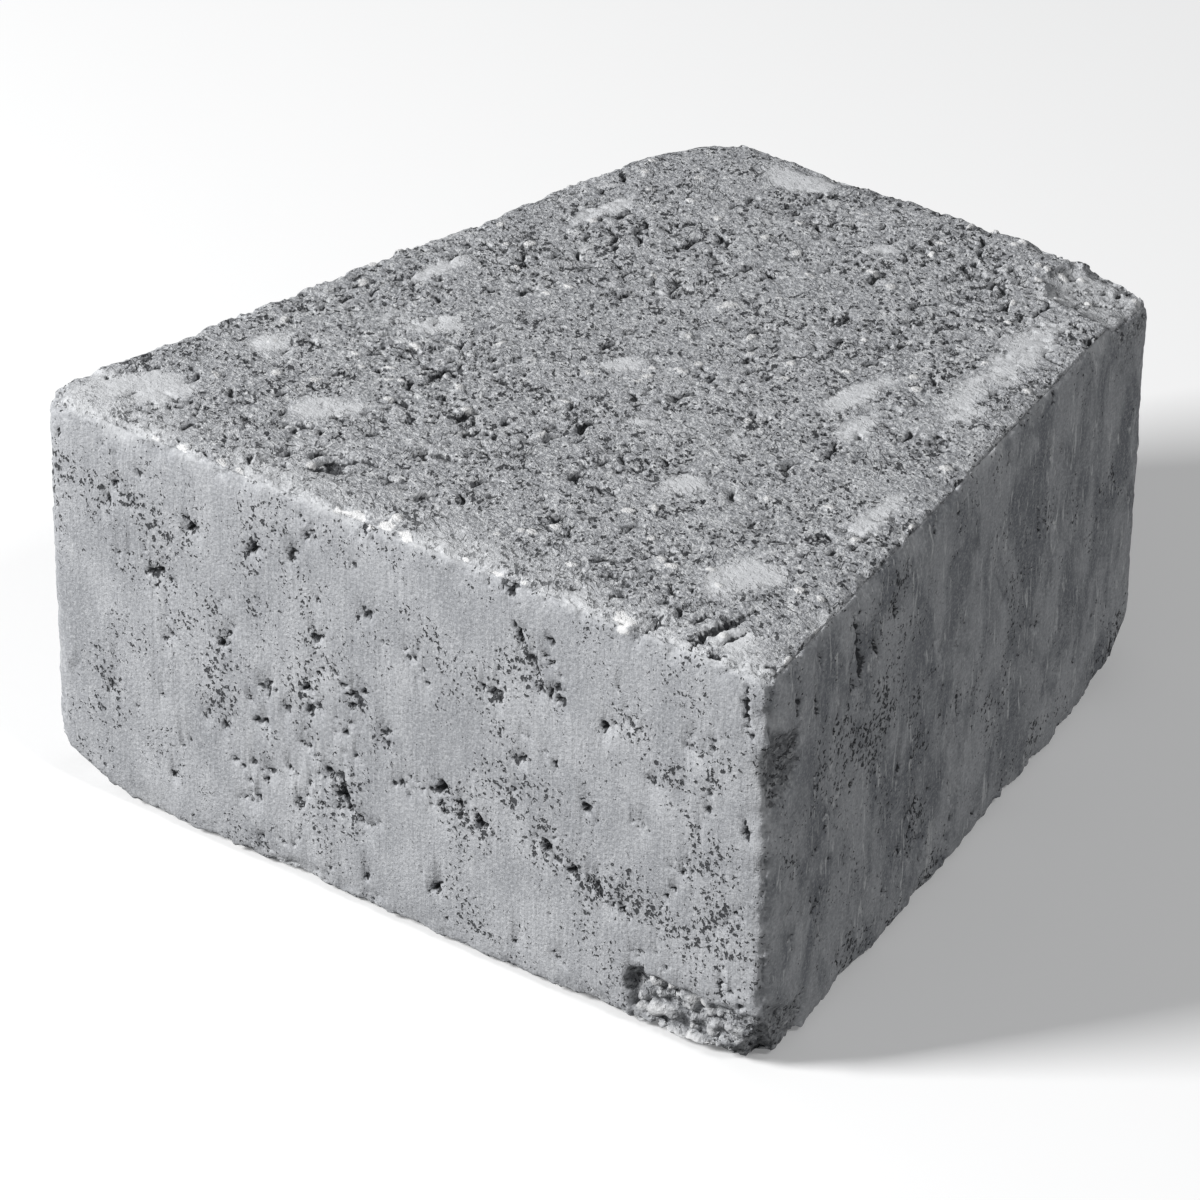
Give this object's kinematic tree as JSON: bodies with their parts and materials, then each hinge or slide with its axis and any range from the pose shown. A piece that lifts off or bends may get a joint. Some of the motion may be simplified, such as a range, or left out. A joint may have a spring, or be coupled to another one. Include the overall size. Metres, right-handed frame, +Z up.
{
  "type": "retaining wall block",
  "caption": "Solid tumbled concrete garden wall block, tapered in plan so that courses can be laid straight or in curves.",
  "frame": {"origin": "centre of the bed (the underside), midway between the two tapered sides and midway from the visible face to the earth-side face", "axes": "+Z up, -Y out of the long visible face, +Y towards the earth behind the wall, +X to the right of someone looking at the visible face from in front"},
  "size_m": [0.247, 0.248, 0.122],
  "materials": {
    "concrete": "matte"
  },
  "bodies": {
    "root": {"block": "concrete"}
  },
  "joints": []
}
